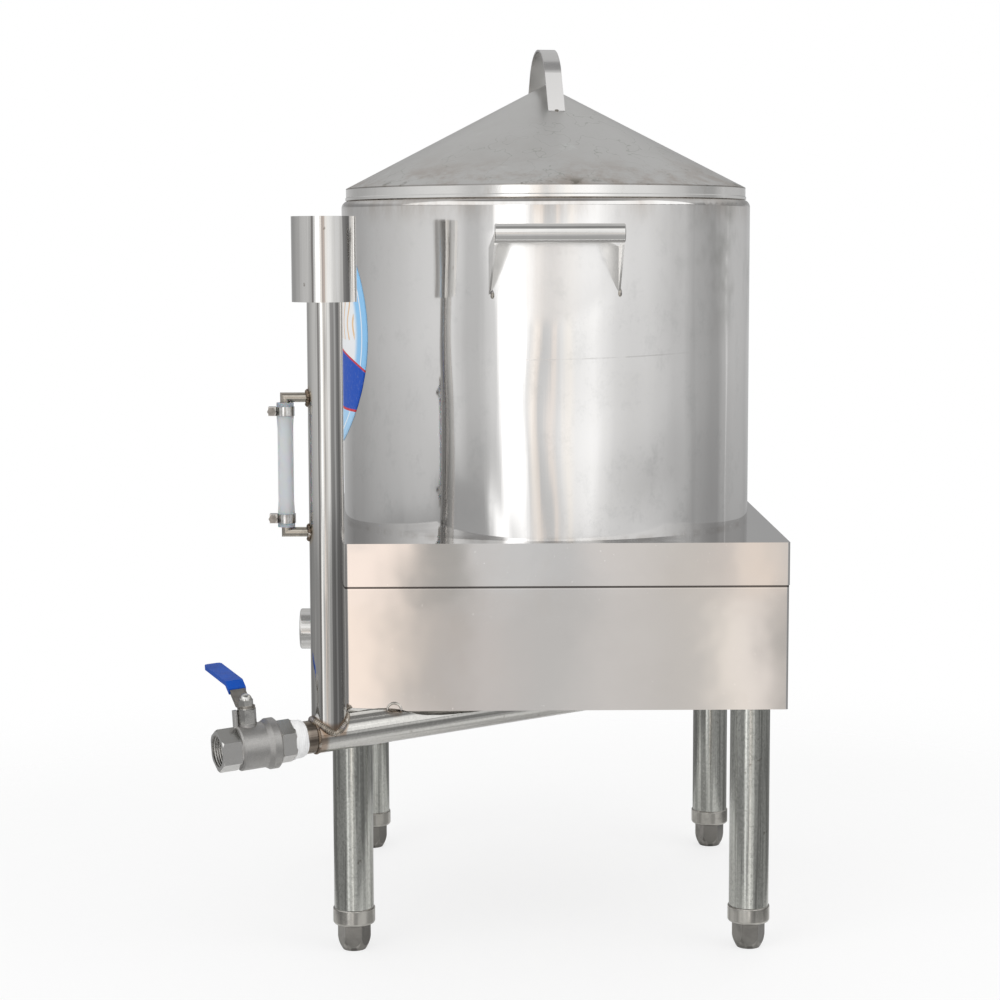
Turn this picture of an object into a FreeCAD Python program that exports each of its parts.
"""Floor-standing steamer for rice noodle rolls: an electric boiler with a round steaming pot.

Units are millimetres. +Z is up, and the front, with a pot handle and the standpipe, faces -Y. The
drain valve is at the front left. Places are worked out from the floor under the middle of the
square base, and then moved so that the origin is on the floor under the middle of the whole part.
"""
import FreeCAD, Part
import math
import os
import re
import Sketcher

# Driving sizes, as the maker would list them.
DRIVING = {
    # Square base of folded sheet
    "base_ledge": 17.5,
    "base_height": 171,
    "base_sheet": 1.2,
    "cap_skirt": 43.5,
    "cap_seam": 0.6,
    "cap_proud": 0.6,
    "corner_bend": 2.5,
    "joggle_height": 14,
    "joggle_play": 0.2,
    "floor_plate_recess": 19,
    "floor_plate_wall": 1.5,
    "rail_leg": 25,
    "rail_wall": 3,
    # Legs and screw feet
    "foot_clearance": 257,
    "leg_diameter": 41,
    "leg_wall": 1.5,
    "leg_inset": 35,
    "collar_diameter": 43.5,
    "collar_height": 17.5,
    "collar_round": 3,
    "spigot_length": 22,
    "foot_height": 27,
    "foot_flats": 29.5,
    "foot_sole": 24,
    "foot_gap": 0.3,
    "stud_diameter": 16,
    "stud_play": 0.05,
    "stud_length": 34,
    # Round pot, inner vessel and lagging
    "pot_diameter": 445,
    "pot_height": 346.5,
    "pot_wall": 1,
    "pot_shoulder": 8,
    "vessel_gap": 17.5,
    "vessel_wall": 1.2,
    "vessel_corner": 14,
    "vessel_lift": 14,
    "rim_wire": 6,
    "lagging_gap": 0.3,
    # Lid
    "lid_inset": 5,
    "lid_wall": 1,
    "lid_band_height": 12.6,
    "lid_cone_rise": 112,
    "lid_play": 1,
    "lid_gap": 0.3,
    "lid_lip": 0.8,
    "lid_lip_height": 2.5,
    "strap_width": 18,
    "strap_wall": 2,
    "strap_rise": 37.5,
    "strap_crown": 46,
    "strap_splay": 24,
    "strap_turn": 10,
    # Pot handles
    "grip_diameter": 19,
    "grip_length": 128.5,
    "grip_standoff": 42,
    "grip_drop": 36.5,
    "grip_edge": 0.8,
    "grip_turn": 1.5,
    "gusset_wall": 2,
    "gusset_inset": 1.2,
    "gusset_height": 47,
    "gusset_drop": 14,
    "gusset_toe": 5,
    # Standpipe with its fill cup
    "pipe_diameter": 35,
    "pipe_wall": 1.5,
    "pipe_inset": 15,
    "pipe_standoff": 22,
    "cup_diameter": 64,
    "cup_height": 83.5,
    "cup_wall": 1.2,
    "cup_top_drop": 19.5,
    "weld_bead": 2.2,
    # Drain pipe under the base
    "drain_axis_drop": 18.3,
    "drain_turn": 25,
    "drain_slope": 3.13,
    "drain_run": 290,
    "drain_overrun": 3,
    "drain_plug_wall": 2,
    "drain_notch_play": 1,
    "drain_stub": 15,
    "tack_radius": 7,
    "tack_wire": 2.4,
    # Threaded nipple and valve
    "nipple_diameter": 33,
    "nipple_wall": 2.6,
    "nipple_grip": 12.5,
    "valve_gap": 25.8,
    "tape_length": 9.5,
    "tape_wall": 0.7,
    "hex_flats": 38,
    "hex_chamfer": 1.6,
    "valve_body_diameter": 45.5,
    "valve_body_wall": 4.2,
    "valve_flange_diameter": 51,
    "valve_flange_length": 12,
    "valve_joint": 1.2,
    "end_hex_length": 15.2,
    "body_hex_length": 20.5,
    "body_barrel_length": 28.3,
    "valve_groove": 1.6,
    "ball_diameter": 32,
    "ball_bore": 20,
    "seat_play": 0.05,
    "seat_depth": 5.5,
    "outlet_thread_depth": 14,
    "stem_diameter": 10,
    "stem_play": 0.05,
    "tang_width": 4,
    "tang_depth": 4.5,
    "neck_diameter": 19,
    "neck_height": 24.4,
    "stop_lug": 4,
    "stop_gap": 0.6,
    "gland_flats": 17,
    "gland_height": 14,
    "washer_diameter": 18,
    "washer_wall": 0.8,
    "washer_play": 0.3,
    # Lever of the valve
    "lever_width": 16,
    "lever_wall": 2.5,
    "lever_heel": 8,
    "lever_flat": 9,
    "lever_knee_reach": 34,
    "lever_knee_rise": 18.4,
    "lever_reach": 99,
    "lever_tip_rise": 24.3,
    "sleeve_wall": 1.1,
    "sleeve_start": 24,
    "nut_flats": 13,
    "nut_height": 5.5,
    "nut_dome": 6.2,
    # Level sight with its hose
    "sight_height": 134,
    "sight_drop": 197,
    "sight_reach": 40,
    "arm_diameter": 9.6,
    "arm_wall": 1.2,
    "arm_stub": 25,
    "hose_diameter": 15.4,
    "hose_flare": 17,
    "hose_flare_length": 13,
    "hose_end_gap": 0.4,
    "clamp_width": 9,
    "clamp_wall": 0.8,
    "clamp_setback": 8.5,
    "clamp_box_depth": 7,
    "clamp_box_length": 11,
    "clamp_screw_diameter": 5,
    "clamp_screw_head": 7.5,
    "clamp_head_length": 4,
    "clamp_screw_reach": 5.5,
    # Heater with its screwed head
    "heater_height": 62,
    "heater_setback": 140,
    "heater_head_diameter": 43,
    "heater_head_length": 25.4,
    "heater_head_gap": 0.3,
    "heater_head_round": 2,
    "socket_diameter": 34,
    "socket_wall": 3,
    "socket_proud": 10,
    "element_diameter": 8,
    "element_spread": 18,
    "element_reach": 250,
    "cut_over": 5,
}

# Sizes that follow from the driving ones.
DERIVED = {
    "pot_radius": "pot_diameter / 2",
    "base_half": "pot_radius + base_ledge",
    "base_bottom": "foot_clearance",
    "base_top": "base_bottom + base_height",
    "cap_bottom": "base_top - cap_skirt",
    "skirt_half": "base_half - cap_proud",
    "skirt_inner": "skirt_half - base_sheet",
    "skirt_height": "base_height - cap_skirt - cap_seam",
    "joggle_half": "base_half - base_sheet - joggle_play",
    "floor_plate_bottom": "base_bottom + floor_plate_recess",
    "floor_plate_top": "floor_plate_bottom + floor_plate_wall",
    "leg_offset": "base_half - leg_inset",
    "leg_radius": "leg_diameter / 2",
    "collar_bottom": "foot_height + foot_gap",
    "collar_top": "collar_bottom + collar_height",
    "collar_radius": "collar_diameter / 2",
    "stud_radius": "stud_diameter / 2",
    "pot_top": "base_top + pot_height",
    "vessel_radius": "pot_radius - vessel_gap",
    "vessel_floor": "floor_plate_top + vessel_lift",
    "rim_radius": "rim_wire / 2",
    "lid_radius": "pot_radius - lid_inset",
    "lid_hem": "vessel_radius + rim_wire + lid_play",
    "lid_bottom": "pot_top + lid_gap",
    "lid_band_top": "lid_bottom + lid_band_height",
    "lid_apex": "lid_band_top + lid_cone_rise",
    "lid_cone_wall": "lid_wall * sqrt(1 + (lid_cone_rise / lid_radius) ^ 2)",
    "strap_top": "lid_apex + strap_rise",
    "strap_centre": "strap_top - strap_crown",
    "strap_inner": "strap_crown - strap_wall",
    "strap_tan": "sin(strap_splay) / cos(strap_splay)",
    "strap_bend": "strap_crown * cos(strap_splay)",
    "strap_bend_up": "strap_centre + strap_crown * sin(strap_splay)",
    "strap_inner_bend": "strap_inner * cos(strap_splay)",
    "strap_inner_bend_up": "strap_centre + strap_inner * sin(strap_splay)",
    "cone_slope": "lid_cone_rise / lid_radius",
    "strap_foot": "(strap_bend + (strap_bend_up - lid_apex) * strap_tan) / (1 - cone_slope * strap_tan)",
    "strap_foot_up": "lid_apex - strap_foot * cone_slope",
    "strap_inner_foot": "(strap_inner_bend + (strap_inner_bend_up - lid_apex) * strap_tan)"
                        " / (1 - cone_slope * strap_tan)",
    "strap_inner_foot_up": "lid_apex - strap_inner_foot * cone_slope",
    "grip_radius": "grip_diameter / 2",
    "grip_half": "grip_length / 2",
    "grip_out": "pot_radius + grip_standoff",
    "grip_up": "pot_top - grip_drop",
    "gusset_half": "grip_half - gusset_inset",
    "gusset_wall_offset": "pot_radius - sqrt(pot_radius ^ 2 - gusset_half ^ 2)",
    "gusset_depth": "grip_standoff + gusset_wall_offset",
    "pipe_radius": "pipe_diameter / 2",
    "pipe_bore": "pipe_radius - pipe_wall",
    "pipe_left": "base_half - pipe_inset",
    "pipe_front": "base_half + pipe_standoff",
    "cup_radius": "cup_diameter / 2",
    "cup_top": "pot_top - cup_top_drop",
    "cup_bottom": "cup_top - cup_height",
    "drain_up": "base_bottom - drain_axis_drop",
    "drain_end": "drain_run + pipe_radius + drain_overrun",
    "drain_level_run": "drain_run * cos(drain_slope)",
    "riser_x": "drain_level_run * cos(drain_turn) - pipe_left",
    "riser_y": "drain_level_run * sin(drain_turn) - pipe_front",
    "riser_foot": "drain_up + drain_run * sin(drain_slope)",
    "tack_run": "pipe_standoff * cos(drain_turn) / sin(drain_turn)",
    "tack_x": "pipe_left - tack_run - pipe_radius",
    "nipple_radius": "nipple_diameter / 2",
    "nipple_bore": "nipple_radius - nipple_wall",
    "valve_inlet": "drain_stub + valve_gap",
    "end_hex_end": "valve_inlet + end_hex_length",
    "flange_start": "end_hex_end + valve_joint",
    "flange_end": "flange_start + valve_flange_length",
    "barrel_end": "flange_end + body_barrel_length",
    "valve_outlet": "barrel_end + body_hex_length",
    "ball_radius": "ball_diameter / 2",
    "ball_at": "flange_end + ball_radius",
    "chamber_radius": "valve_body_diameter / 2 - valve_body_wall",
    "hex_radius": "hex_flats / 2",
    "seat_start": "ball_radius - seat_depth + seat_play",
    "seat_end": "ball_radius + seat_play",
    "stem_radius": "stem_diameter / 2",
    "gland_corner": "gland_flats / 2 / cos(30)",
    "gland_bottom": "neck_height",
    "gland_top": "gland_bottom + gland_height",
    "washer_bottom": "gland_top + washer_play",
    "lever_bottom": "washer_bottom + washer_wall",
    "lever_top": "lever_bottom + lever_wall",
    "nut_top": "lever_top + nut_height",
    "sight_top": "pot_top - sight_drop",
    "sight_bottom": "sight_top - sight_height",
    "arm_radius": "arm_diameter / 2",
    "hose_top": "sight_top - arm_radius - hose_end_gap",
    "hose_bottom": "sight_bottom + arm_radius + hose_end_gap",
    "heater_up": "base_bottom + heater_height",
    "heater_y": "base_half - heater_setback",
    "heater_root": "sqrt((vessel_radius - vessel_wall) ^ 2 - heater_y ^ 2)",
    "socket_radius": "socket_diameter / 2",
    "head_radius": "heater_head_diameter / 2",
    "head_start": "skirt_half + heater_head_gap",
    "socket_end": "skirt_half + socket_proud",
    # How far the part reaches to the left, front and back, and the move that centres it
    "left_reach": "pipe_left"
                  " + (ball_at + lever_width / 4 + sleeve_wall) * cos(drain_slope) * cos(drain_turn)"
                  " + (lever_reach + sleeve_wall - lever_width / 4) * sin(drain_turn) + lever_width / 4"
                  " + (lever_top + sleeve_wall + lever_tip_rise) * sin(drain_slope) * cos(drain_turn)",
    "front_reach": "pipe_front + valve_outlet * cos(drain_slope) * sin(drain_turn)"
                   " + hex_radius * cos(drain_turn)",
    "back_reach": "grip_out * cos(grip_turn) + (grip_half - grip_edge) * sin(grip_turn) + grip_radius",
    "move_x": "(left_reach - base_half) / 2",
    "move_y": "(front_reach - back_reach) / 2",
}

DOC = FreeCAD.newDocument("rice_noodle_roll_steamer")
SHEET = DOC.addObject("Spreadsheet::Sheet", "Sizes")
WORK_CELL = "D1"
NAMES = list(DRIVING) + list(DERIVED)
NODES = []


def fill_sheet():
    """Write each size in a row of its own, with its name as the alias."""
    rows = [(name, str(value)) for name, value in DRIVING.items()]
    rows += [(name, "=" + text) for name, text in DERIVED.items()]
    for row, (name, _) in enumerate(rows, 1):
        SHEET.set("A%d" % row, name)
        SHEET.setAlias("B%d" % row, name)
    for row, (_, text) in enumerate(rows, 1):
        SHEET.set("B%d" % row, text)
    SHEET.recompute()


def linked(text):
    """Point each size in an expression at the sheet."""
    return re.sub(r"[a-z][a-z_]+", lambda word: "Sizes." + word.group() if word.group() in NAMES
                  else word.group(), text)


def number(text):
    """Work out a sum of named sizes in a spare cell of the sheet."""
    SHEET.set(WORK_CELL, "=" + text)
    SHEET.recompute()
    return float(SHEET.get(WORK_CELL))


def tie(thing, **texts):
    """Bind properties of an object to sums of named sizes."""
    for name, text in texts.items():
        thing.setExpression(name, linked(text))
    return thing


def spot(x="0", y="0", z="0", turn="0", tilt="0", roll="0"):
    """A placement as an expression: a place, and angles about Z, Y and X."""
    return "placement(vector(%s; %s; %s); rotation(%s; %s; %s))" % (x, y, z, turn, tilt, roll)


DRAIN = spot("-pipe_left", "-pipe_front", "drain_up", "drain_turn", "-drain_slope")


def place(thing, where):
    """Bind an object's placement, moved with the whole part to its origin."""
    thing.setExpression("Placement", linked(spot("move_x", "move_y") + " * " + where))
    return thing


def keep(thing, label):
    """Name an object as a node of the part."""
    thing.Label = label
    NODES.append(thing)
    return thing


def cylinder(name, radius, height, where):
    thing = tie(DOC.addObject("Part::Cylinder", name), Radius=radius, Height=height)
    return place(thing, where)


def sphere(name, radius, where):
    return place(tie(DOC.addObject("Part::Sphere", name), Radius=radius), where)


def box(name, length, width, height, where):
    thing = tie(DOC.addObject("Part::Box", name), Length=length, Width=width, Height=height)
    return place(thing, where)


def cut(name, base, tool):
    thing = DOC.addObject("Part::Cut", name)
    thing.Base = base
    thing.Tool = tool
    return thing


def common(name, base, tool):
    thing = DOC.addObject("Part::Common", name)
    thing.Base = base
    thing.Tool = tool
    return thing


def fuse(name, *shapes):
    thing = DOC.addObject("Part::MultiFuse", name)
    thing.Shapes = list(shapes)
    return thing


def new_body(name, where=None):
    return place(DOC.addObject("PartDesign::Body", name), where or spot())


def new_sketch(body, plane, lift="0"):
    """A sketch on one of the body's own origin planes, lifted off it by a named size."""
    sketch = body.newObject("Sketcher::SketchObject", body.Name + "_sketch")
    origin = [item for item in body.Origin.OriginFeatures if item.Role == plane][0]
    sketch.AttachmentSupport = [(origin, "")]
    sketch.MapMode = "FlatFace"
    if lift != "0":
        sketch.setExpression("AttachmentOffset.Base.z", linked(lift))
    return sketch


def pin(sketch, kind, edge, end, text):
    """Fix one coordinate of a corner by a named size, or on an axis where it is zero."""
    if text == "0":
        axis = -2 if kind == "DistanceX" else -1
        sketch.addConstraint(Sketcher.Constraint("PointOnObject", edge, end, axis))
        return
    index = sketch.addConstraint(Sketcher.Constraint(kind, edge, end, number(text)))
    sketch.setExpression("Constraints[%d]" % index, linked(text))


def arc_between(start, end, radius, turn):
    """The minor arc from start to end; turn is 1 for anticlockwise and -1 for clockwise."""
    chord = end - start
    half = chord.Length / 2
    rise = math.sqrt(max(radius * radius - half * half, 0))
    side = FreeCAD.Vector(-chord.y, chord.x, 0).normalize() * turn
    centre = (start + end) / 2 + side * rise
    first, last = (start, end) if turn > 0 else (end, start)
    angles = [math.atan2(point.y - centre.y, point.x - centre.x) for point in (first, last)]
    circle = Part.Circle(centre, FreeCAD.Vector(0, 0, 1), radius)
    return Part.ArcOfCircle(circle, angles[0], angles[1])


def outline(sketch, corners):
    """A closed outline. A corner is (x, y), or (x, y, radius, turn) where an arc leaves it."""
    points = [FreeCAD.Vector(number(corner[0]), number(corner[1]), 0) for corner in corners]
    ends = []
    for index, corner in enumerate(corners):
        start, end = points[index], points[(index + 1) % len(points)]
        if len(corner) == 2:
            edge = sketch.addGeometry(Part.LineSegment(start, end))
            ends.append((edge, 1, 2))
            continue
        radius, turn = corner[2:]
        edge = sketch.addGeometry(arc_between(start, end, number(radius), turn))
        ends.append((edge, 1, 2) if turn > 0 else (edge, 2, 1))
        index = sketch.addConstraint(Sketcher.Constraint("Radius", edge, number(radius)))
        sketch.setExpression("Constraints[%d]" % index, linked(radius))
    for index, (edge, _, last) in enumerate(ends):
        after, first, _ = ends[(index + 1) % len(ends)]
        sketch.addConstraint(Sketcher.Constraint("Coincident", edge, last, after, first))
    for corner, (edge, first, _) in zip(corners, ends):
        pin(sketch, "DistanceX", edge, first, corner[0])
        pin(sketch, "DistanceY", edge, first, corner[1])


def ring_outline(sketch, radius, x="0", y="0"):
    """A circle of a named radius about a named point."""
    centre = FreeCAD.Vector(number(x), number(y), 0)
    edge = sketch.addGeometry(Part.Circle(centre, FreeCAD.Vector(0, 0, 1), number(radius)))
    index = sketch.addConstraint(Sketcher.Constraint("Radius", edge, number(radius)))
    sketch.setExpression("Constraints[%d]" % index, linked(radius))
    pin(sketch, "DistanceX", edge, 3, x)
    pin(sketch, "DistanceY", edge, 3, y)


def turned(name, corners, where=None, axis="V_Axis"):
    """A body turned about its own Z axis, or about its X axis where axis is H_Axis."""
    body = new_body(name, where)
    sketch = new_sketch(body, "XZ_Plane")
    outline(sketch, corners)
    turn = body.newObject("PartDesign::Revolution", name + "_turn")
    turn.Profile = sketch
    turn.ReferenceAxis = (sketch, [axis])
    turn.Angle = 360
    return body


def padded(body, drawings, length, plane="XY_Plane", lift="0", middle=False):
    """Add a pad to a body. Each drawing is a list of corners, or a tuple for a circle."""
    sketch = new_sketch(body, plane, lift)
    for drawing in drawings:
        if isinstance(drawing, tuple):
            ring_outline(sketch, *drawing)
        else:
            outline(sketch, drawing)
    pad = body.newObject("PartDesign::Pad", body.Name + "_pad")
    pad.Profile = sketch
    if middle:
        pad.SideType = "Symmetric"
    tie(pad, Length=length)
    return body


def rounded_square(half, radius):
    """Corners of a square about the origin with rounded corners."""
    corners = []
    run = "(%s) - (%s)" % (half, radius)
    signs = ((1, -1), (1, 1), (-1, 1), (-1, -1))
    for right, up in signs:
        far_x, far_y = ("" if right > 0 else "-") + "(%s)", ("" if up > 0 else "-") + "(%s)"
        on_side = (far_x % half, far_y % run)
        on_end = (far_x % run, far_y % half)
        first, last = (on_end, on_side) if right == -up else (on_side, on_end)
        corners += [first + (radius, 1), last]
    return corners


def hexagon(flats):
    """Corners of a hexagon with a corner on its first axis."""
    corners = []
    for step in range(6):
        angle = 60 * step
        corners.append(tuple("(%s) / 2 / cos(30) * %s(%d)" % (flats, name, angle)
                             for name in ("cos", "sin")))
    return [tuple("0" if abs(number(text)) < 1e-9 else text for text in corner) for corner in corners]


def tube(name, outer, inner, length, where):
    """A straight tube along the Z axis of its placement."""
    body = new_body(name, where)
    return padded(body, [(outer,), (inner,)], length)


def make_base():
    """Sheet cap over a folded skirt, with a floor plate on an angle frame inside."""
    cap = new_body("cap_sheet", spot(z="cap_bottom"))
    outer = rounded_square("base_half", "corner_bend")
    inner = rounded_square("base_half - base_sheet", "corner_bend - base_sheet")
    padded(cap, [outer, inner], "cap_skirt")
    padded(cap, [outer, ("vessel_radius",)], "base_sheet", lift="cap_skirt - base_sheet")
    keep(cap, "base_cap")

    skirt = new_body("skirt_sheet", spot(z="base_bottom"))
    padded(skirt, [rounded_square("skirt_half", "corner_bend"),
                   rounded_square("skirt_inner", "corner_bend - base_sheet")], "skirt_height")
    padded(skirt, [rounded_square("joggle_half", "corner_bend"),
                   rounded_square("joggle_half - base_sheet", "corner_bend - base_sheet")],
           "joggle_height + cap_seam", lift="skirt_height - joggle_height")
    notch = cylinder("skirt_notch", "pipe_radius + drain_notch_play", "drain_end",
                     DRAIN + " * " + spot(tilt="90"))
    hole = cylinder("skirt_heater_hole", "socket_radius", "cut_over * 2",
                    spot("-skirt_inner + cut_over", "-heater_y", "heater_up", tilt="-90"))
    keep(cut("skirt_cut", skirt, fuse("skirt_tools", notch, hole)), "base_skirt")

    plate = new_body("floor_plate", spot(z="floor_plate_bottom"))
    padded(plate, [rounded_square("skirt_inner", "corner_bend - base_sheet"),
                   ("pipe_radius", "riser_x", "riser_y")], "floor_plate_wall")
    keep(plate, "base_floor_plate")

    frame = new_body("angle_frame", spot(z="floor_plate_top"))
    edge = rounded_square("skirt_inner", "corner_bend - base_sheet")
    padded(frame, [edge, rounded_square("skirt_inner - rail_leg", "corner_bend")], "rail_wall")
    padded(frame, [edge, rounded_square("skirt_inner - rail_wall", "corner_bend")], "rail_leg")
    socket_gap = cylinder("frame_heater_gap", "socket_radius + drain_notch_play", "rail_leg + cut_over",
                          spot("-skirt_inner - cut_over", "-heater_y", "heater_up", tilt="90"))
    keep(cut("frame_cut", frame, socket_gap), "base_frame")


def make_legs():
    """Four tube legs, each with a pressed-in threaded collar and a screw foot."""
    for front, y in (("front", "-leg_offset"), ("back", "leg_offset")):
        for side, x in (("left", "-leg_offset"), ("right", "leg_offset")):
            end = front + "_" + side
            leg = tube("leg_tube_" + end, "leg_radius", "leg_radius - leg_wall",
                       "floor_plate_bottom - collar_top", spot(x, y, "collar_top"))
            keep(leg, "leg_" + end)
            collar = turned("collar_turned_" + end, [
                ("stud_radius + stud_play", "0"),
                ("collar_radius - collar_round", "0", "collar_round", 1),
                ("collar_radius", "collar_round"),
                ("collar_radius", "collar_height - collar_round / 2", "collar_round / 2", 1),
                ("collar_radius - collar_round / 2", "collar_height"),
                ("leg_radius - leg_wall", "collar_height"),
                ("leg_radius - leg_wall", "collar_height + spigot_length"),
                ("stud_radius + stud_play", "collar_height + spigot_length"),
            ], spot(x, y, "collar_bottom"))
            keep(collar, "leg_collar_" + end)
            block = padded(new_body("foot_block_" + end, spot(x, y)), [hexagon("foot_flats")], "foot_height")
            shape = turned("foot_turned_" + end, [
                ("0", "0"), ("foot_sole / 2", "0", "foot_flats", 1),
                ("foot_flats / 2 / cos(30)", "foot_height / 2"),
                ("foot_flats / 2 / cos(30)", "foot_height"),
                ("stud_radius", "foot_height"), ("stud_radius", "foot_height + stud_length"),
                ("0", "foot_height + stud_length")], spot(x, y))
            stud = cylinder("foot_stud_" + end, "stud_radius", "stud_length", spot(x, y, "foot_height"))
            keep(common("foot_shape_" + end, fuse("foot_solid_" + end, block, stud), shape), "foot_" + end)


def make_pot():
    """Outer shell, inner vessel with a wired rim, and the lagging between them."""
    keep(turned("shell_turned", [
        ("pot_radius", "0"),
        ("pot_radius", "pot_height - pot_shoulder", "pot_shoulder", 1),
        ("pot_radius - pot_shoulder", "pot_height"),
        ("vessel_radius", "pot_height"),
        ("vessel_radius", "pot_height - pot_wall"),
        ("pot_radius - pot_shoulder", "pot_height - pot_wall", "pot_shoulder - pot_wall", -1),
        ("pot_radius - pot_wall", "pot_height - pot_shoulder"),
        ("pot_radius - pot_wall", "0")], spot(z="base_top")), "pot_shell")
    vessel = turned("vessel_turned", [
        ("0", "vessel_floor"),
        ("vessel_radius - vessel_corner", "vessel_floor", "vessel_corner", 1),
        ("vessel_radius", "vessel_floor + vessel_corner"),
        ("vessel_radius", "pot_top + rim_wire"),
        ("vessel_radius - vessel_wall", "pot_top + rim_wire"),
        ("vessel_radius - vessel_wall", "vessel_floor + vessel_corner", "vessel_corner - vessel_wall", -1),
        ("vessel_radius - vessel_corner", "vessel_floor + vessel_wall"),
        ("0", "vessel_floor + vessel_wall")])
    drain_hole = cylinder("vessel_drain_hole", "pipe_bore", "cut_over * 2",
                          spot("riser_x", "riser_y", "vessel_floor - cut_over"))
    heater_hole = cylinder("vessel_heater_hole", "socket_radius", "vessel_radius",
                           spot("-vessel_radius - cut_over", "-heater_y", "heater_up", tilt="90"))
    keep(cut("vessel_cut", vessel, fuse("vessel_tools", drain_hole, heater_hole)), "inner_vessel")
    rim = tie(DOC.addObject("Part::Torus", "rim_torus"), Radius1="vessel_radius + rim_radius",
              Radius2="rim_radius")
    keep(place(rim, spot(z="pot_top + rim_radius")), "vessel_rim")
    keep(tube("lagging", "pot_radius - pot_wall - lagging_gap", "vessel_radius + lagging_gap",
              "pot_height - pot_shoulder - pot_wall", spot(z="base_top")), "insulation")


def make_lid():
    """Coned lid with a hemmed band and an arched strap handle."""
    keep(turned("cone_turned", [
        ("0", "lid_apex"), ("0", "lid_apex - lid_cone_wall"),
        ("lid_radius", "lid_band_top - lid_cone_wall"), ("lid_radius", "lid_band_top")]), "lid_cone")
    keep(turned("band_turned", [
        ("lid_hem", "lid_bottom"),
        ("lid_radius + lid_lip", "lid_bottom"),
        ("lid_radius + lid_lip", "lid_bottom + lid_lip_height"),
        ("lid_radius", "lid_bottom + lid_lip_height + lid_lip"),
        ("lid_radius", "lid_band_top - lid_cone_wall"),
        ("lid_radius - lid_wall", "lid_band_top - lid_cone_wall + lid_wall * cone_slope"),
        ("lid_radius - lid_wall", "lid_bottom + lid_wall"),
        ("lid_hem", "lid_bottom + lid_wall")]), "lid_band")
    strap = new_body("strap_bent", spot(turn="90 + strap_turn"))
    padded(strap, [[
        ("strap_foot", "strap_foot_up"),
        ("strap_bend", "strap_bend_up", "strap_crown", 1),
        ("0", "strap_top", "strap_crown", 1),
        ("-strap_bend", "strap_bend_up"),
        ("-strap_foot", "strap_foot_up"),
        ("-strap_inner_foot", "strap_inner_foot_up"),
        ("-strap_inner_bend", "strap_inner_bend_up", "strap_inner", -1),
        ("0", "strap_top - strap_wall", "strap_inner", -1),
        ("strap_inner_bend", "strap_inner_bend_up"),
        ("strap_inner_foot", "strap_inner_foot_up")]],
        "strap_width", plane="XZ_Plane", middle=True)
    keep(strap, "lid_handle")


def make_pot_handles():
    """A round grip on two gusset plates, in front and behind."""
    for end, turn in (("front", "grip_turn"), ("back", "grip_turn + 180")):
        grip = turned("grip_turned_" + end, [
            ("-grip_half", "0"), ("grip_half", "0"),
            ("grip_half", "grip_radius - grip_edge"), ("grip_half - grip_edge", "grip_radius"),
            ("-grip_half + grip_edge", "grip_radius"), ("-grip_half", "grip_radius - grip_edge")],
            spot(turn=turn) + " * " + spot(y="-grip_out", z="grip_up"), axis="H_Axis")
        keep(grip, end + "_handle_grip")
        hold = cylinder("grip_seat_" + end, "grip_radius", "grip_length",
                        spot(turn=turn) + " * " + spot("-grip_half", "-grip_out", "grip_up", tilt="90"))
        wall = cylinder("grip_wall_" + end, "pot_radius", "pot_height", spot(z="base_top"))
        away = fuse("grip_tools_" + end, hold, wall)
        for side, sign, toe in (("left", "-", "gusset_toe"), ("right", "", "0")):
            plate = new_body("gusset_plate_%s_%s" % (end, side), spot(turn=turn) + " * "
                             + spot(sign + "gusset_half", "-grip_out", "grip_up", turn=toe))
            padded(plate, [[("grip_radius / 2", "0"), ("grip_radius / 2", "-grip_radius - gusset_wall"),
                            ("gusset_depth + gusset_wall", "-gusset_drop - gusset_height"),
                            ("gusset_depth + gusset_wall", "-gusset_drop")]],
                   "gusset_wall", plane="YZ_Plane", middle=True)
            keep(cut("gusset_cut_%s_%s" % (end, side), plate, away), "%s_handle_gusset_%s" % (end, side))


def make_standpipe():
    """Standpipe with a fish-mouth foot on the drain pipe, its weld and the fill cup."""
    height = "cup_bottom + cup_wall - drain_up"
    outer = cylinder("standpipe_outer", "pipe_radius", height, spot("-pipe_left", "-pipe_front", "drain_up"))
    bore = cylinder("standpipe_bore", "pipe_bore", height + " + cut_over",
                    spot("-pipe_left", "-pipe_front", "drain_up"))
    saddle = cylinder("standpipe_saddle", "pipe_radius", "pipe_diameter * 4",
                      DRAIN + " * " + spot("-pipe_diameter * 2", tilt="90"))
    arms = [cylinder("standpipe_arm_hole_" + end, "arm_radius", "pipe_radius",
                     spot("-pipe_left", "-pipe_front", level, tilt="-90"))
            for end, level in (("upper", "sight_top"), ("lower", "sight_bottom"))]
    keep(cut("standpipe_cut", outer, fuse("standpipe_tools", bore, saddle, *arms)), "standpipe")

    collar = tube("bead_upright", "pipe_radius + weld_bead", "pipe_radius", "pipe_diameter",
                  spot("-pipe_left", "-pipe_front", "drain_up - weld_bead"))
    sleeve = tube("bead_level", "pipe_radius + weld_bead", "pipe_radius", "pipe_diameter * 4",
                  DRAIN + " * " + spot("-pipe_diameter * 2", tilt="90"))
    keep(common("bead_common", collar, sleeve), "standpipe_weld")

    keep(turned("cup_turned", [
        ("pipe_radius", "cup_bottom"), ("cup_radius", "cup_bottom"), ("cup_radius", "cup_top"),
        ("cup_radius - cup_wall", "cup_top"), ("cup_radius - cup_wall", "cup_bottom + cup_wall"),
        ("pipe_radius", "cup_bottom + cup_wall")], spot("-pipe_left", "-pipe_front")), "fill_cup")


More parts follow.
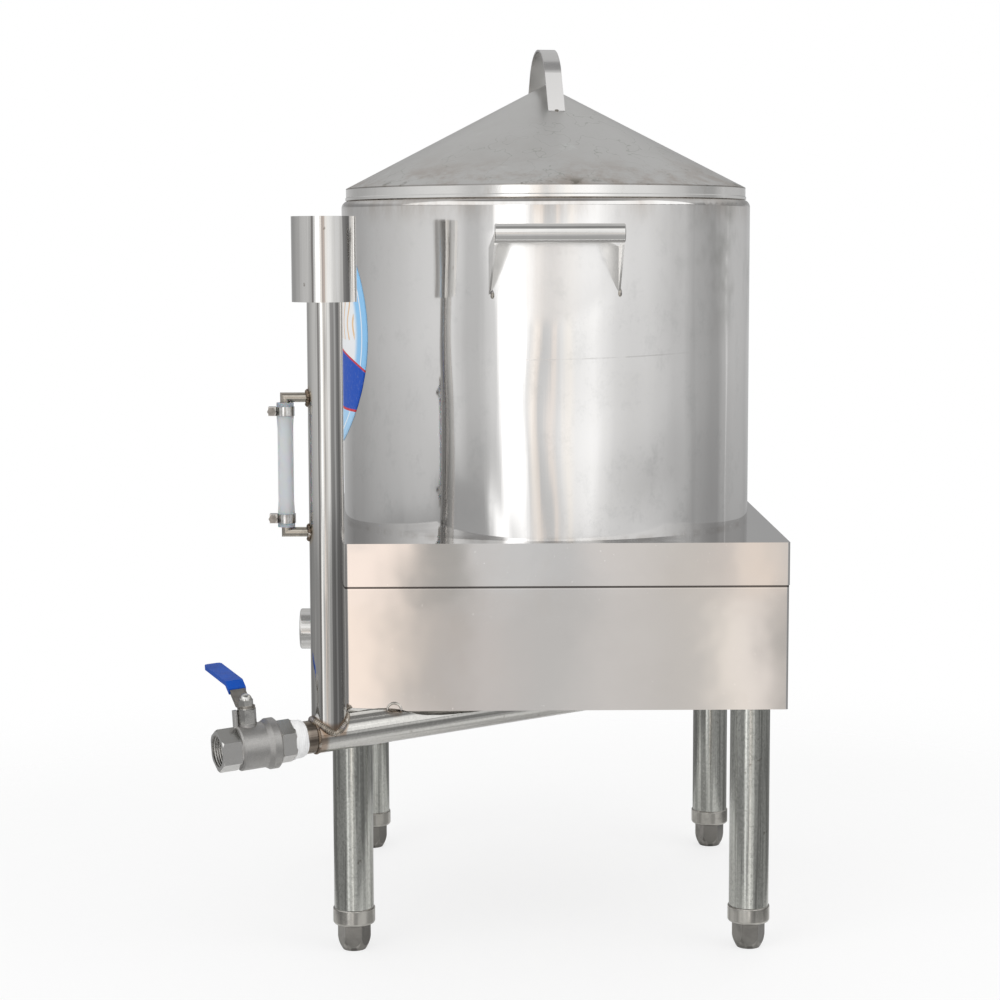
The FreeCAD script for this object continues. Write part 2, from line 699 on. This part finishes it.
def make_drain():
    """Drain pipe under the base, with its riser, end plug, nipple and tape."""
    outer = cylinder("drain_outer", "pipe_radius", "drain_end + drain_stub",
                     DRAIN + " * " + spot("-drain_stub", tilt="90"))
    bore = cylinder("drain_bore", "pipe_bore", "drain_end + drain_stub - drain_plug_wall + cut_over",
                    DRAIN + " * " + spot("-drain_stub - cut_over", tilt="90"))
    upper = cylinder("drain_standpipe_hole", "pipe_bore", "pipe_diameter",
                     spot("-pipe_left", "-pipe_front", "drain_up"))
    riser_hole = cylinder("drain_riser_hole", "pipe_bore", "pipe_diameter",
                          spot("riser_x", "riser_y", "riser_foot"))
    keep(cut("drain_cut", outer, fuse("drain_tools", bore, upper, riser_hole)), "drain_pipe")

    riser = tube("riser_tube", "pipe_radius", "pipe_bore", "vessel_floor - riser_foot",
                 spot("riser_x", "riser_y", "riser_foot"))
    saddle = cylinder("riser_saddle", "pipe_radius", "drain_end + drain_stub",
                      DRAIN + " * " + spot("-drain_stub", tilt="90"))
    keep(cut("riser_cut", riser, saddle), "drain_riser")

    keep(turned("nipple_turned", [
        ("-drain_stub", "nipple_bore"), ("-drain_stub", "nipple_radius"),
        ("-valve_inlet - nipple_grip", "nipple_radius"), ("-valve_inlet - nipple_grip", "nipple_bore")],
        DRAIN, axis="H_Axis"), "pipe_nipple")
    bead = turned("nipple_bead", [
        ("-drain_stub - weld_bead", "nipple_radius"), ("-drain_stub", "nipple_radius"),
        ("-drain_stub", "pipe_radius"), ("-drain_stub + weld_bead", "pipe_radius"),
        ("-drain_stub + weld_bead / 2", "pipe_radius + weld_bead / 2"),
        ("-drain_stub - weld_bead / 2", "pipe_radius + weld_bead / 2")], DRAIN, axis="H_Axis")
    upright = cylinder("nipple_bead_upright", "pipe_radius + weld_bead", "pipe_diameter",
                       spot("-pipe_left", "-pipe_front", "drain_up - weld_bead"))
    keep(cut("nipple_bead_cut", bead, upright), "nipple_weld")
    keep(turned("tape_wrap", [
        ("-valve_inlet", "nipple_radius"), ("-valve_inlet + tape_length", "nipple_radius"),
        ("-valve_inlet + tape_length", "nipple_radius + tape_wall / 2"),
        ("-valve_inlet + tape_length - tape_wall", "nipple_radius + tape_wall"),
        ("-valve_inlet", "nipple_radius + tape_wall")], DRAIN, axis="H_Axis"), "thread_tape")

    tack = tie(DOC.addObject("Part::Torus", "tack_torus"), Radius1="tack_radius", Radius2="tack_wire / 2",
               Angle3="180")
    place(tack, spot("-tack_x", "-skirt_half - tack_wire / 2", "base_bottom + tack_wire / 2", roll="90"))
    keep(cut("tack_cut", tack, outer), "drain_tack")


def hexagon_along(name, flats, start, length):
    """A hexagonal bar along the pipe with its ends chamfered; start is its end nearer the outlet."""
    body = new_body(name + "_bar", DRAIN + " * " + spot("-(%s)" % start))
    padded(body, [[(y, z) for z, y in hexagon(flats)]], length, plane="YZ_Plane")
    point = "(%s) / 2 / cos(30)" % flats
    turn = turned(name + "_chamfer", [
        ("0", "0"), ("0", point + " - hex_chamfer"), ("hex_chamfer", point),
        ("(%s) - hex_chamfer" % length, point), (length, point + " - hex_chamfer"), (length, "0")],
        DRAIN + " * " + spot("-(%s)" % start), axis="H_Axis")
    return common(name, body, turn)


def make_valve():
    """Two-piece ball valve: body, end piece, seats, ball, stem and gland."""
    body_hex = hexagon_along("body_hex", "hex_flats", "valve_outlet", "body_hex_length")
    barrel = turned("valve_barrel", [
        ("-flange_start", "0"), ("-flange_start", "valve_flange_diameter / 2 - hex_chamfer"),
        ("-flange_start - hex_chamfer", "valve_flange_diameter / 2"),
        ("-flange_end + hex_chamfer * 2", "valve_flange_diameter / 2"),
        ("-flange_end - hex_chamfer", "valve_body_diameter / 2"),
        ("-barrel_end + hex_chamfer", "valve_body_diameter / 2"),
        ("-barrel_end", "valve_body_diameter / 2 - hex_chamfer"),
        ("-barrel_end", "hex_radius"),
        ("-barrel_end - valve_groove", "hex_radius"),
        ("-barrel_end - valve_groove", "0")], DRAIN, axis="H_Axis")
    neck = cylinder("valve_neck", "neck_diameter / 2", "neck_height", DRAIN + " * " + spot("-ball_at"))
    lug = box("valve_stop_lug", "stop_lug", "stop_lug", "stop_lug * 2 + gland_height",
              DRAIN + " * " + spot("-ball_at - gland_corner - stop_gap - stop_lug", "-stop_lug / 2",
                                   "neck_height - stop_lug * 2"))
    cavity = turned("valve_cavity", [
        ("-valve_outlet - cut_over", "0"),
        ("-valve_outlet - cut_over", "nipple_radius - tape_wall"),
        ("-valve_outlet + outlet_thread_depth", "nipple_radius - tape_wall"),
        ("-valve_outlet + outlet_thread_depth", "ball_bore / 2"),
        ("-ball_at - seat_end", "ball_bore / 2"),
        ("-ball_at - seat_end", "chamber_radius"),
        ("-flange_start + cut_over", "chamber_radius"),
        ("-flange_start + cut_over", "0")], DRAIN, axis="H_Axis")
    stem_bore = cylinder("valve_stem_bore", "stem_radius + stem_play", "neck_height + cut_over",
                         DRAIN + " * " + spot("-ball_at"))
    solid = fuse("valve_body_solid", body_hex, barrel, neck, lug)
    keep(cut("valve_body_cut", solid, fuse("valve_body_tools", cavity, stem_bore)), "valve_body")

    end_hex = hexagon_along("end_hex", "hex_flats", "end_hex_end", "end_hex_length")
    spigot = turned("end_spigot", [
        ("-end_hex_end", "0"), ("-end_hex_end", "chamber_radius"),
        ("-ball_at + seat_end", "chamber_radius"), ("-ball_at + seat_end", "0")], DRAIN, axis="H_Axis")
    end_bore = turned("end_bore", [
        ("-valve_inlet + cut_over", "0"), ("-valve_inlet + cut_over", "nipple_radius"),
        ("-valve_inlet - nipple_grip", "nipple_radius"), ("-valve_inlet - nipple_grip", "ball_bore / 2"),
        ("-ball_at", "ball_bore / 2"), ("-ball_at", "0")], DRAIN, axis="H_Axis")
    keep(cut("end_piece_cut", fuse("end_piece_solid", end_hex, spigot), end_bore), "valve_end_piece")

    rings = [turned("seat_ring_" + end, [
        (sign + "seat_start", "ball_bore / 2"), (sign + "seat_start", "chamber_radius"),
        (sign + "seat_end", "chamber_radius"), (sign + "seat_end", "ball_bore / 2")],
        DRAIN + " * " + spot("-ball_at"), axis="H_Axis") for end, sign in (("outer", "-"), ("inner", ""))]
    dish = sphere("seat_dish", "ball_radius + seat_play", DRAIN + " * " + spot("-ball_at"))
    keep(cut("seats_cut", fuse("seat_rings", *rings), dish), "valve_seats")

    gland = padded(new_body("gland_hex", DRAIN + " * " + spot("-ball_at", z="gland_bottom")),
                   [hexagon("gland_flats")], "gland_height")
    gland_bore = cylinder("gland_bore", "stem_radius + stem_play", "gland_height + cut_over",
                          DRAIN + " * " + spot("-ball_at", z="gland_bottom"))
    keep(cut("gland_cut", gland, gland_bore), "gland_nut")

    here = DRAIN + " * " + spot("-ball_at")
    ball = sphere("ball_sphere", "ball_radius", here)
    waterway = cylinder("ball_waterway", "ball_bore / 2", "ball_diameter * 2",
                        here + " * " + spot(y="ball_diameter", roll="90"))
    slot = box("ball_slot", "tang_width", "ball_diameter", "tang_depth + cut_over",
               here + " * " + spot("-tang_width / 2", "-ball_radius", "ball_radius - tang_depth"))
    keep(cut("ball_cut", ball, fuse("ball_tools", waterway, slot)), "valve_ball")
    stem = cylinder("stem_rod", "stem_radius", "nut_top - ball_radius", here + " * " + spot(z="ball_radius"))
    tang = box("stem_tang", "tang_width", "stem_diameter - tang_width / 2", "tang_depth + cut_over",
               here + " * " + spot("-tang_width / 2", "-stem_radius + tang_width / 4",
                                   "ball_radius - tang_depth"))
    keep(fuse("stem_solid", stem, tang), "valve_stem")


def lever_side(grow):
    """Side outline of the cranked lever, grown all round by a named wall."""
    top = "lever_top + (%s)" % grow
    low = "lever_bottom - (%s)" % grow
    return [("-lever_heel - (%s)" % grow, low), ("lever_flat", low),
            ("lever_knee_reach", low + " + lever_knee_rise"),
            ("lever_reach + (%s)" % grow, low + " + lever_tip_rise"),
            ("lever_reach + (%s)" % grow, top + " + lever_tip_rise"),
            ("lever_knee_reach - lever_wall / 2", top + " + lever_knee_rise"),
            ("lever_flat - lever_wall / 2", top), ("-lever_heel - (%s)" % grow, top)]


def lever_plan(start, grow):
    """Plan outline of the lever from a start to its tip, with rounded ends."""
    half = "lever_width / 2 + (%s)" % grow
    tip = "lever_reach + (%s)" % grow
    round_end = "lever_width / 4"
    return [("-(%s)" % half, start), (half, start),
            (half, "%s - %s" % (tip, round_end), round_end, 1),
            ("%s - %s" % (half, round_end), tip),
            ("-(%s) + %s" % (half, round_end), tip, round_end, 1),
            ("-(%s)" % half, "%s - %s" % (tip, round_end))]


def make_lever():
    """Cranked lever with its vinyl sleeve, washer and nut, all turning with the stem."""
    here = DRAIN + " * " + spot("-ball_at")
    side = padded(new_body("lever_side_bar", here), [lever_side("0")], "lever_width * 2",
                  plane="YZ_Plane", middle=True)
    plan = padded(new_body("lever_plan_bar", here + " * " + spot(z="gland_top")),
                  [lever_plan("-lever_heel + lever_width / 4", "0")], "lever_reach")
    heel = cylinder("lever_heel_round", "lever_width / 2", "lever_reach", here + " * " + spot(z="gland_top"))
    blank = common("lever_blank", side, fuse("lever_plan_whole", plan, heel))
    hole = cylinder("lever_hole", "stem_radius", "lever_reach", here)
    keep(cut("lever_cut", blank, hole), "valve_lever")

    sleeve_side = padded(new_body("sleeve_side_bar", here), [lever_side("sleeve_wall")], "lever_width * 2",
                         plane="YZ_Plane", middle=True)
    sleeve_plan = padded(new_body("sleeve_plan_bar", here + " * " + spot(z="gland_top")),
                         [lever_plan("sleeve_start", "sleeve_wall")], "lever_reach")
    inside = common("sleeve_core", side, plan)
    keep(cut("sleeve_cut", common("sleeve_blank", sleeve_side, sleeve_plan), inside), "lever_sleeve")

    keep(tube("washer_ring", "washer_diameter / 2", "stem_radius", "washer_wall",
              here + " * " + spot(z="washer_bottom")), "lever_washer")
    nut = padded(new_body("nut_hex", here + " * " + spot(z="lever_top")), [hexagon("nut_flats")],
                 "nut_height")
    dome = sphere("nut_dome_ball", "nut_dome", here + " * " + spot(z="nut_top"))
    dome.Angle1 = 0
    nut_bore = cylinder("nut_bore", "stem_radius", "nut_height", here + " * " + spot(z="lever_top"))
    keep(cut("nut_cut", fuse("nut_solid", nut, dome), nut_bore), "lever_nut")


def make_sight():
    """Level sight: two mitred arms, a clear hose and its two worm clamps."""
    for end, level, way in (("upper", "sight_top", "-"), ("lower", "sight_bottom", "")):
        body = new_body("arm_pipe_" + end, spot("-pipe_left", "-pipe_front", level))
        path = new_sketch(body, "XZ_Plane")
        start = FreeCAD.Vector(-number("pipe_bore"), 0, 0)
        knee = FreeCAD.Vector(-number("sight_reach"), 0, 0)
        tip = FreeCAD.Vector(knee.x, number(way + "arm_stub"), 0)
        path.addGeometry(Part.LineSegment(start, knee))
        path.addGeometry(Part.LineSegment(knee, tip))
        path.addConstraint(Sketcher.Constraint("Coincident", 0, 2, 1, 1))
        pin(path, "DistanceX", 0, 1, "-pipe_bore")
        pin(path, "DistanceY", 0, 1, "0")
        pin(path, "DistanceX", 0, 2, "-sight_reach")
        pin(path, "DistanceY", 0, 2, "0")
        pin(path, "DistanceX", 1, 2, "-sight_reach")
        pin(path, "DistanceY", 1, 2, way + "arm_stub")
        section = new_sketch(body, "YZ_Plane", lift="-pipe_bore")
        ring_outline(section, "arm_radius")
        ring_outline(section, "arm_radius - arm_wall")
        sweep = body.newObject("PartDesign::AdditivePipe", "arm_sweep_" + end)
        sweep.Profile = section
        sweep.Spine = (path, ["Edge1", "Edge2"])
        sweep.Transition = "Right corner"
        keep(body, "sight_arm_" + end)

    axis = ("-pipe_left - sight_reach", "-pipe_front")
    keep(turned("hose_turned", [
        ("arm_radius", "hose_bottom"), ("hose_flare / 2", "hose_bottom"),
        ("hose_flare / 2", "hose_bottom + hose_flare_length"),
        ("hose_diameter / 2", "hose_bottom + hose_flare_length * 2"),
        ("hose_diameter / 2", "hose_top - hose_flare_length * 2"),
        ("hose_flare / 2", "hose_top - hose_flare_length"),
        ("hose_flare / 2", "hose_top"), ("arm_radius", "hose_top")], spot(*axis)), "sight_hose")
    for end, level in (("upper", "hose_top - clamp_setback - clamp_width / 2"),
                       ("lower", "hose_bottom + clamp_setback - clamp_width / 2")):
        band = tube("clamp_band_" + end, "hose_flare / 2 + clamp_wall", "hose_flare / 2", "clamp_width",
                    spot(*axis, level))
        left = axis[0] + " - hose_flare / 2 - clamp_wall"
        house = box("clamp_box_" + end, "clamp_box_depth + clamp_wall", "clamp_box_length", "clamp_width",
                    spot(left + " - clamp_box_depth", axis[1] + " - clamp_box_length / 2", level))
        core = cylinder("clamp_core_" + end, "hose_flare / 2", "clamp_width", spot(*axis, level))
        middle = left + " - clamp_box_depth / 2"
        screw_hole = cylinder("clamp_screw_hole_" + end, "clamp_screw_diameter / 2", "clamp_box_length * 2",
                              spot(middle, axis[1] + " + clamp_box_length", "(%s) + clamp_width / 2" % level,
                                   roll="90"))
        keep(cut("clamp_cut_" + end, fuse("clamp_solid_" + end, band, house),
                 fuse("clamp_tools_" + end, core, screw_hole)), "hose_clamp_" + end)
        screw = cylinder("clamp_screw_rod_" + end, "clamp_screw_diameter / 2",
                         "clamp_box_length + clamp_screw_reach",
                         spot(middle, axis[1] + " + clamp_box_length / 2 + clamp_screw_reach",
                              "(%s) + clamp_width / 2" % level, roll="90"))
        head = padded(new_body("clamp_screw_head_" + end,
                               spot(middle, axis[1] + " - clamp_box_length / 2",
                                    "(%s) + clamp_width / 2" % level, roll="90")),
                      [hexagon("clamp_screw_head")], "clamp_head_length")
        keep(fuse("clamp_screw_" + end, screw, head), "clamp_bolt_" + end)


def make_heater():
    """Immersion heater: welded socket, screwed head and a hairpin element."""
    outward = spot("-heater_root", "-heater_y", "heater_up", tilt="-90")
    keep(tube("socket_tube", "socket_radius", "socket_radius - socket_wall", "socket_end - heater_root",
              outward), "heater_socket")
    keep(turned("head_turned", [
        ("0", "-head_start - heater_head_length"),
        ("0", "-socket_end"), ("socket_radius", "-socket_end"), ("socket_radius", "-head_start"),
        ("head_radius", "-head_start"),
        ("head_radius", "-head_start - heater_head_length + heater_head_round", "heater_head_round", -1),
        ("head_radius - heater_head_round", "-head_start - heater_head_length")],
        spot(y="-heater_y", z="heater_up", tilt="90")), "heater_head")
    body = new_body("element_rod", spot(y="-heater_y", z="heater_up"))
    path = new_sketch(body, "XZ_Plane")
    half, near = number("element_spread / 2"), -number("socket_end")
    far = near + number("element_reach")
    low, high = FreeCAD.Vector(near, -half, 0), FreeCAD.Vector(near, half, 0)
    low_far, high_far = FreeCAD.Vector(far, -half, 0), FreeCAD.Vector(far, half, 0)
    path.addGeometry(Part.LineSegment(low, low_far))
    circle = Part.Circle(FreeCAD.Vector(far, 0, 0), FreeCAD.Vector(0, 0, 1), half)
    path.addGeometry(Part.ArcOfCircle(circle, -math.pi / 2, math.pi / 2))
    path.addGeometry(Part.LineSegment(high_far, high))
    path.addConstraint(Sketcher.Constraint("Tangent", 0, 2, 1, 1))
    path.addConstraint(Sketcher.Constraint("Tangent", 1, 2, 2, 1))
    path.addConstraint(Sketcher.Constraint("Horizontal", 0))
    pin(path, "DistanceX", 0, 1, "-socket_end")
    pin(path, "DistanceY", 0, 1, "-element_spread / 2")
    pin(path, "DistanceX", 0, 2, "element_reach - socket_end")
    pin(path, "DistanceX", 2, 2, "-socket_end")
    pin(path, "DistanceY", 2, 2, "element_spread / 2")
    section = new_sketch(body, "YZ_Plane", lift="-socket_end")
    ring_outline(section, "element_diameter / 2", "0", "-element_spread / 2")
    sweep = body.newObject("PartDesign::AdditivePipe", "element_sweep")
    sweep.Profile = section
    sweep.Spine = (path, ["Edge1", "Edge2", "Edge3"])
    keep(body, "heater_element")


def check_and_write():
    """Stop on any failed object, then write each node as a file of its own."""
    for thing in DOC.Objects:
        if "Invalid" in thing.State or "Error" in thing.State:
            raise RuntimeError("%s could not be built: %s" % (thing.Label, thing.State))
    for node in NODES:
        if node.Shape.isNull() or not node.Shape.isValid() or not node.Shape.Solids:
            raise RuntimeError("%s is not a valid solid" % node.Label)
    os.makedirs("parts", exist_ok=True)
    for node in NODES:
        node.Shape.exportStep(os.path.join("parts", node.Label + ".step"))
        bounds = node.Shape.BoundBox
        print("%-28s %2d solid(s) %10.1f mm3  x %7.1f %7.1f  y %7.1f %7.1f  z %6.1f %6.1f" % (
            node.Label, len(node.Shape.Solids), node.Shape.Volume, bounds.XMin, bounds.XMax,
            bounds.YMin, bounds.YMax, bounds.ZMin, bounds.ZMax))
    print("%d nodes" % len(NODES))


fill_sheet()
make_base()
make_legs()
make_pot()
make_lid()
make_pot_handles()
make_standpipe()
make_drain()
make_valve()
make_lever()
make_sight()
make_heater()
DOC.recompute()
check_and_write()
